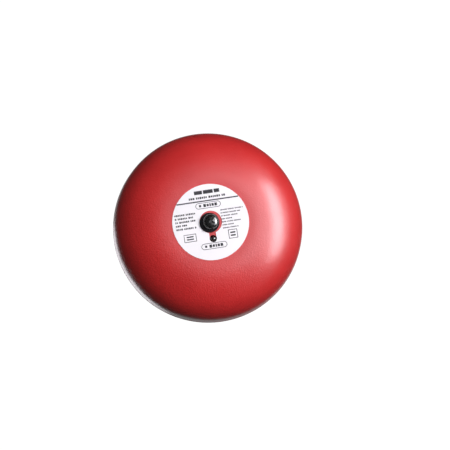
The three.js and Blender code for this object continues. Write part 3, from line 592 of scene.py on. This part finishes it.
def print_outlines():
    """Rule, headline bars, outlined panels and greeked text, all plain shapes. Each is a list of loops."""
    chord = math.sqrt((LABEL_RADIUS / MM) ** 2 - RULE["v"] ** 2) - 0.3
    yield [box_outline(0, RULE["v"], 2 * chord, RULE["height"])]
    for left, width in HEADLINE["bars"]:
        yield [box_outline(left + width / 2, HEADLINE["v"], width, HEADLINE["height"])]
    for block in greeked_line(SUBTITLE["left"], SUBTITLE["v"], SUBTITLE["width"], SUBTITLE["height"], 3):
        yield [block]
    for v, width in PANELS["places"]:
        line, height = PANELS["line"], PANELS["height"]
        yield [stadium(0, v, width, height), stadium(0, v, width - 2 * line, height - 2 * line)]
        for block in greeked_line(-width * 0.36, v, width * 0.74, 2.4, 11):
            yield [block]
    for text in TEXT_BLOCKS:
        for row, width in enumerate(text["widths"]):
            level = text["v"] - row * text["pitch"]
            for block in greeked_line(text["left"], level, width, text["height"], row * 5):
                yield [block]
    for u, v, width, height in FRAMES["places"]:
        line = FRAMES["line"]
        yield [box_outline(u, v, width, height), box_outline(u, v, width - 2 * line, height - 2 * line)]
        for share in (0.16, -0.16):
            yield [box_outline(u, v + share * height, width * 0.56, height * 0.16)]


def make_print():
    """A film of ink on the label's face."""
    bm = bmesh.new()
    face = LABEL_OUT[1]
    for loops in print_outlines():
        scaled = [[(u * MM, v * MM) for u, v in loop] for loop in loops]
        add_slab(bm, scaled, face, face + INK * MM, WALL_FRAME)
    object_from("label_print", bm, "bell", "label_vinyl", "label_ink")


def thread_rows(radius, low, high, pitch, segments):
    """Rows of a screw thread: the radius falls and rises once in each pitch."""
    depth = pitch * 0.5
    count = max(4, round((high - low) / pitch * 8))
    rows = []
    for j in range(count + 1):
        height = low + (high - low) * j / count
        fade = min(1.0, j / 8)
        row = []
        for i in range(segments):
            phase = (height / pitch - i / segments) % 1.0
            wave = 1 - abs(2 * phase - 1)
            local = radius - depth * (1 - min(1.0, wave * 1.25)) * fade - (1 - fade) * depth
            angle = 2 * math.pi * i / segments
            row.append((local * math.cos(angle), local * math.sin(angle), height))
        rows.append(row)
    return rows


def screw(matrix, shank, length, pitch, head, height, segments=48):
    """A pan head screw about local z: the seat is at z = 0 and the thread runs down from it."""
    bm = bmesh.new()
    neck = shank * 0.86
    under_head = [(neck, -0.05 * length), (neck, 0), (0.98 * head, 0), (head, 0.03 * head)]
    dome = [(head * math.cos(angle) ** 0.8, height * (0.3 + 0.7 * math.sin(angle)))
            for angle in angles_between(0, math.pi / 2, 10)[:-1]]
    rows = [[(0, 0, -length)]] + thread_rows(shank, -length, -0.06 * length, pitch, segments)
    rows += [ring_row(radius, level, segments) for radius, level in under_head + dome + [(0, height)]]
    rows_to_mesh(bm, rows, matrix)
    return bm


ABOVE_HEAD = 0.4 * MM


def cut_cross(piece, matrix, top, width, depth, blade):
    """Cuts a cross recess into a screw's head: two blades that narrow as they go down."""
    levels = ((width * 0.4, blade * 0.84, top - depth), (width * 1.08, blade * 1.2, top + ABOVE_HEAD))
    for turn in (0, math.pi / 2):
        spin = matrix @ Matrix.Rotation(turn, 4, "Z")
        bm = bmesh.new()
        foot, brim = ([bm.verts.new(spin @ Vector((x, y, level))) for x, y in box_outline(0, 0, long, thick)]
                      for long, thick, level in levels)
        bm.faces.new(foot)
        bm.faces.new(brim)
        for i in range(4):
            j = (i + 1) % 4
            bm.faces.new([foot[i], foot[j], brim[j], brim[i]])
        cut_by(piece, bm)


def cut_slot(piece, matrix, top, length, depth, blade):
    """Cuts a straight slot across a screw's head."""
    bm = bmesh.new()
    add_slab(bm, [box_outline(0, 0, length, blade)], top - depth, top + 1 * MM, matrix)
    cut_by(piece, bm)


SEAT_GAP = 0.1 * MM
RECESS_TURN = math.radians(52)
WASHER_BORE = 4.1 * MM
WASHER_SLIP = (-1.0 * MM, -0.45 * MM)
PIN_RADIUS = 1.8 * MM


def make_gong_screw():
    """The black screw on the washer, with its cross recess turned as it was left."""
    seat = out_span("gong_washer")[1] + SEAT_GAP
    low, high = out_span("gong_screw")
    place = at(0, 0, seat)
    bm = screw(place, shank=2.9 * MM, length=seat - low, pitch=1.27 * MM, head=5.9 * MM,
               height=high - seat, segments=96)
    piece = stand_in("gong_screw", bm, sharp=38)
    turned = place @ Matrix.Rotation(RECESS_TURN, 4, "Z")
    cut_cross(piece, turned, high - seat, width=6.6 * MM, depth=2.6 * MM, blade=1.45 * MM)


def make_washer():
    """A flat washer that has slipped to one side within the play of its wide hole."""
    low, high = out_span("gong_washer")
    left, right = span("gong_washer", 0)
    radius = (right - left) / 2
    ring = [(WASHER_BORE, low), (radius, low), (radius, high), (WASHER_BORE, high)]
    stand_in("gong_washer", spun(rounded(ring, 0.25 * MM), at(*WASHER_SLIP)), material="dull_oxide")


def make_pin():
    """A pin with a low domed nose."""
    low, high = out_span("positioning_pin")
    flatness = 0.75
    chamfer = 0.2 * MM
    shoulder = high - PIN_RADIUS * flatness
    nose = [(radius, shoulder + rise * flatness)
            for radius, rise in arc((0, 0), PIN_RADIUS, math.pi / 2, 0, 8)[:-1]]
    profile = [(0, low), (PIN_RADIUS - chamfer, low), (PIN_RADIUS, low + chamfer)] + nose + [(0, high)]
    stand_in("positioning_pin", spun(profile, at(0, -PIN_DOWN), 48), material="black_oxide")


make_gong()
make_label()
make_print()
make_gong_screw()
make_washer()
make_pin()

# ------------------------------------------------------------------------------------------------
# Plate, housing and their screws
# ------------------------------------------------------------------------------------------------

refined("mounting_plate", 0.18 * MM)
refined("mechanism_housing", 0.35 * MM, 60)
refined("centre_post", 0.2 * MM)
refined("ground_screw", 0.2 * MM)

M4 = {"shank": 1.9 * MM, "head": 4 * MM, "height": 2.6 * MM, "pitch": 0.7 * MM}
M3 = {"shank": 1.5 * MM, "head": 2.55 * MM, "height": 2 * MM, "pitch": 0.5 * MM}
BINDING = {**M3, "head": 3 * MM}


def replace_screw(node, size, facing_out=True, slotted=False):
    """A screw with a real thread and recess where the frame has a plain one."""
    head, height = size["head"], size["height"]
    x, up = sum(span(node, 0)) / 2, sum(span(node, 2)) / 2
    low, high = out_span(node)
    if facing_out:
        place = at(x, up, high - height)
    else:
        place = at(x, up, low + height) @ Matrix.Rotation(math.pi, 4, "X")
    piece = stand_in(node, screw(place, length=high - low - height, **size), sharp=38)
    # Each screw stopped at an angle of its own when it was tightened.
    stopped_at = x * 300 + up * 170
    turned = place @ Matrix.Rotation(stopped_at, 4, "Z")
    if slotted:
        cut_slot(piece, turned, height, head * 2.2, height * 0.45, head * 0.28)
    else:
        cut_cross(piece, turned, height, head * 1.06, height * 0.6, head * 0.2)


for number in range(1, 5):
    replace_screw(f"housing_screw_{number}", M4)
    replace_screw(f"terminal_screw_{number}", BINDING, facing_out=False, slotted=True)
    refined(f"wire_clamp_{number}", 0.12 * MM)
for number in (1, 2):
    replace_screw(f"solenoid_screw_{number}", M4, facing_out=False)
    replace_screw(f"block_screw_{number}", M3, facing_out=False)

# ------------------------------------------------------------------------------------------------
# Solenoid and striker, about the striker's axis
# ------------------------------------------------------------------------------------------------

# Radii about the axis, in millimetres.
BOBBIN = {"bore": 5, "core": 6, "flange": 15}
WINDING = {"inside": 6.1, "outside": 13, "crest": 13.5}
TAPE = {"inside": 13.6, "outside": 14}
POLE = {"bore": 2.5, "core": 4.85, "foot": 6.85}
BUSH = {"bore": 2.5, "body": 3.9, "flange": 5.7}
PAD = 6
PLUNGER = {"socket": 2.35, "body": 4.7, "groove": 3.7}
ROD = 2.2
TIP = {"socket": 2.35, "body": 4.5}


def make_turned(node, outline, edge):
    """A turned piece on the striker's axis: radii and edge in millimetres, heights in metres."""
    profile = [(radius * MM, height) for radius, height in outline]
    stand_in(node, spun(rounded(profile, edge * MM), STRIKER_AXIS))


def make_bobbin():
    """A spool with a flange at each end."""
    low, high = span("coil_bobbin", 2)
    bore, core, flange = BOBBIN.values()
    cheek = 1.5 * MM
    make_turned("coil_bobbin", [
        (bore, low), (flange, low), (flange, low + cheek), (core, low + cheek),
        (core, high - cheek), (flange, high - cheek), (flange, high), (bore, high),
    ], 0.25)


def make_winding():
    """The coil, with the ridges of its outer layer of wire."""
    low, high = span("coil_winding", 2)
    turns = 56
    per_turn = 4
    pitch = (high - low) / turns
    step = pitch / per_turn
    inside, outside, crest = (radius * MM for radius in WINDING.values())
    ridges = [(crest - 0.35 * pitch * (1 - math.sin(math.pi * (k % per_turn) / per_turn)), low + step * k)
              for k in range(1, turns * per_turn)]
    profile = [(inside, low), (outside, low)] + ridges + [(outside, high), (inside, high)]
    stand_in("coil_winding", spun(profile, STRIKER_AXIS), sharp=60)


def make_coil_parts():
    """What the coil holds and what holds it: tape, pole piece, guide bush and pad."""
    low, high = span("coil_tape", 2)
    inside, outside = TAPE.values()
    make_turned("coil_tape", [(inside, low), (outside, low), (outside, high), (inside, high)], 0.1)
    low, high = span("pole_piece", 2)
    bore, core, foot = POLE.values()
    foot_top = low + 1.8 * MM
    make_turned("pole_piece", [
        (bore, low), (foot, low), (foot, foot_top), (core, foot_top), (core, high), (bore, high),
    ], 0.5)
    low, high = span("guide_bush", 2)
    bore, body, flange = BUSH.values()
    seat = low + (high - low) * 0.67
    make_turned("guide_bush", [
        (bore, low), (body, low), (body, seat), (flange, seat), (flange, high), (bore, high),
    ], 0.25)
    low, high = span("backstop_pad", 2)
    make_turned("backstop_pad", [(0, low), (PAD, low), (PAD, high), (0, high)], 0.7)


def make_plunger():
    """The moving core: a socket for the rod below, and a groove for the spring's clip near its top."""
    low, high = span("plunger", 2)
    socket, body, groove = PLUNGER.values()
    groove_top = high - 3 * MM
    groove_low = groove_top - 1.3 * MM
    socket_top = low + 10 * MM
    make_turned("plunger", [
        (0, socket_top), (socket, socket_top), (socket, low), (body, low), (body, groove_low),
        (groove, groove_low), (groove, groove_top), (body, groove_top), (body, high), (0, high),
    ], 0.3)


def make_striker():
    """The push rod and the round-nosed hammer on its end."""
    low, high = span("striker_rod", 2)
    make_turned("striker_rod", [(0, low), (ROD, low), (ROD, high), (0, high)], 0.3)
    low, high = span("striker_tip", 2)
    socket, body = TIP.values()
    socket_low = high - 5 * MM
    nose = [(body * math.sin(angle), low + body * MM * (1 - math.cos(angle)))
            for angle in angles_between(0, math.pi / 2, 12)]
    shank = [(body, high - 1 * MM), (body - 0.25, high - 0.3 * MM), (body - 0.9, high), (socket, high),
             (socket, socket_low), (0, socket_low)]
    stand_in("striker_tip", spun([(radius * MM, height) for radius, height in nose + shank], STRIKER_AXIS))


def make_spring():
    """Round wire helix whose end turns close up, on a mesh of its own. The real spring shortens as the
    striker goes down; this piece is built at one length.
    """
    low, high = span("return_spring", 2)
    wire = 0.45 * MM
    radius = 6.1 * MM
    turns = 5
    steps = turns * 36
    points = []
    for k in range(steps + 1):
        t = k / steps
        open_part = min(1.0, max(0.0, (t - 0.02) / 0.96))
        rise = 0.25 * t + 0.75 * open_part ** 2 * (3 - 2 * open_part)
        angle = 2 * math.pi * turns * t
        height = low + wire + (high - low - 2 * wire) * rise
        points.append((radius * math.cos(angle), -radius * math.sin(angle), height))
    piece = stand_in("return_spring", tube(points, wire, 14, STRIKER_AXIS), sharp=60)
    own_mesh(piece)


make_bobbin()
make_winding()
make_coil_parts()
make_plunger()
make_striker()
make_spring()
refined("solenoid_frame", 0.25 * MM)
refined("spring_clip", 0.12 * MM)
refined("terminal_block", 0.15 * MM)
refined("rectifier", 0.2 * MM)


def softened(node):
    """A lead: the CAD tube with its flats rounded off by subdivision."""
    bm = bmesh.new()
    bm.from_mesh(frame["nodes"][node].data)
    bmesh.ops.remove_doubles(bm, verts=bm.verts, dist=1e-6)
    bmesh.ops.join_triangles(bm, faces=bm.faces, angle_face_threshold=0.9, angle_shape_threshold=0.9)
    piece = stand_in(node, bm, sharp=60)
    modifier = piece.modifiers.new("round", "SUBSURF")
    modifier.levels = 2
    apply_modifiers(piece)
    piece.data.shade_smooth()


for lead in ("coil_lead_top", "coil_lead_bottom", "rectifier_lead"):
    softened(lead)

# ------------------------------------------------------------------------------------------------
# Stage, camera and light
# ------------------------------------------------------------------------------------------------


CAMERA_DIRECTION = (-0.069, -0.990, -0.102)
CAMERA_DISTANCE = 0.836
CAMERA_TURN = math.radians(-8.9)
FLOOR_LEVEL = -0.5
FLOOR_RADIUS = 4.0
PAPER_WHITE = 1.05


def make_camera():
    """The camera stands a little to the left of the bell and below it, and is held slightly turned."""
    data = bpy.data.cameras.new("camera")
    data.lens = 85
    data.sensor_width = 36
    data.shift_x = 0.035
    camera = bpy.data.objects.new("camera", data)
    bpy.context.scene.collection.objects.link(camera)
    aim = Vector((0, -(RIM_OUT + FACE_OUT) / 2, 0))
    direction = Vector(CAMERA_DIRECTION).normalized()
    camera.location = aim + direction * CAMERA_DISTANCE
    level = direction.to_track_quat("Z", "Y").to_matrix().to_4x4()
    camera.matrix_world = (Matrix.Translation(camera.location) @ level
                           @ Matrix.Rotation(CAMERA_TURN, 4, "Z"))
    bpy.context.scene.camera = camera
    return camera, aim


def add_light(name, place, aim, size, radiance, reflected=True):
    """A rectangular soft box that faces the aim. A mirror shows it at its radiance, if it is reflected."""
    data = bpy.data.lights.new(name, "AREA")
    data.shape = "RECTANGLE"
    data.size, data.size_y = size
    data.energy = radiance * math.pi * size[0] * size[1]
    data.color = (0.98, 0.94, 1.0)
    light = bpy.data.objects.new(name, data)
    light.visible_glossy = reflected
    light.location = place
    light.rotation_euler = (place - aim).to_track_quat("Z", "Y").to_euler()
    bpy.context.scene.collection.objects.link(light)


def make_world():
    """White to the camera. What the object reflects is dim, except for a paler wall far behind it."""
    dim, pale = 0.035, 0.5
    wall_starts, wall_full = 0.82, 0.92
    world = bpy.data.worlds.new("studio")
    bpy.context.scene.world = world
    world.use_nodes = True
    tree = world.node_tree
    tree.nodes.clear()
    output = tree.nodes.new("ShaderNodeOutputWorld")
    mix = tree.nodes.new("ShaderNodeMixShader")
    rays = tree.nodes.new("ShaderNodeLightPath")
    backdrop = tree.nodes.new("ShaderNodeBackground")
    backdrop.inputs["Color"].default_value = (1, 1, 1, 1)
    backdrop.inputs["Strength"].default_value = PAPER_WHITE
    room = tree.nodes.new("ShaderNodeBackground")
    direction = tree.nodes.new("ShaderNodeTexCoord")
    split = tree.nodes.new("ShaderNodeSeparateXYZ")
    wall = tree.nodes.new("ShaderNodeMapRange")
    steps = {"From Min": wall_starts, "From Max": wall_full, "To Min": dim, "To Max": pale}
    for name, value in steps.items():
        wall.inputs[name].default_value = value
    tree.links.new(direction.outputs["Generated"], split.inputs[0])
    tree.links.new(split.outputs["Y"], wall.inputs["Value"])
    tree.links.new(wall.outputs["Result"], room.inputs["Strength"])
    tree.links.new(rays.outputs["Is Camera Ray"], mix.inputs["Fac"])
    tree.links.new(room.outputs[0], mix.inputs[1])
    tree.links.new(backdrop.outputs[0], mix.inputs[2])
    tree.links.new(mix.outputs[0], output.inputs["Surface"])


def make_floor():
    """A pale floor well below the bell. It looks evenly lit, and gives off no light."""
    bm = bmesh.new()
    rows_to_mesh(bm, [ring_row(0, FLOOR_LEVEL, 96), ring_row(FLOOR_RADIUS, FLOOR_LEVEL, 96)])
    mesh = bpy.data.meshes.new("floor")
    bm.to_mesh(mesh)
    bm.free()
    floor = bpy.data.objects.new("floor", mesh)
    bpy.context.scene.collection.objects.link(floor)
    paint = surface("floor_paint", (0.85, 0.85, 0.85), 0.8, variation=0.01)
    tree = paint.node_tree
    output = tree.nodes["Material Output"]
    mix = tree.nodes.new("ShaderNodeMixShader")
    glow = tree.nodes.new("ShaderNodeEmission")
    glow.inputs["Color"].default_value = (1, 1, 1, 1)
    glow.inputs["Strength"].default_value = PAPER_WHITE
    tree.links.new(tree.nodes.new("ShaderNodeLightPath").outputs["Is Camera Ray"], mix.inputs["Fac"])
    tree.links.new(tree.nodes["Principled BSDF"].outputs[0], mix.inputs[1])
    tree.links.new(glow.outputs[0], mix.inputs[2])
    tree.links.new(mix.outputs[0], output.inputs["Surface"])
    mesh.materials.append(paint)
    floor.visible_diffuse = False
    floor.visible_glossy = False


def light_the_bell(camera, aim):
    """Five soft boxes, placed by the camera's right, up and backward directions, in metres from the aim."""
    turn = camera.matrix_world.to_3x3()

    def from_aim(right, up, toward):
        return aim + turn @ Vector((right, up, toward))

    add_light("soft_box", from_aim(0.76, 0.2, 0.56), aim, (0.32, 0.84), 9)
    add_light("broad_box", from_aim(0.55, 0.25, 1.0), aim, (0.7, 0.7), 1.6)
    add_light("front_fill", from_aim(0.35, 0.6, 1.6), aim, (1.5, 1.5), 2.6, reflected=False)
    add_light("rear_box", from_aim(-0.56, -0.3, -1.1), aim, (0.6, 0.6), 1.3)
    add_light("rear_fill", from_aim(0.9, 0, -1.2), aim, (1.2, 1.2), 2.5, reflected=False)


light_the_bell(*make_camera())
make_world()
make_floor()
bpy.context.scene.view_settings.view_transform = "Standard"
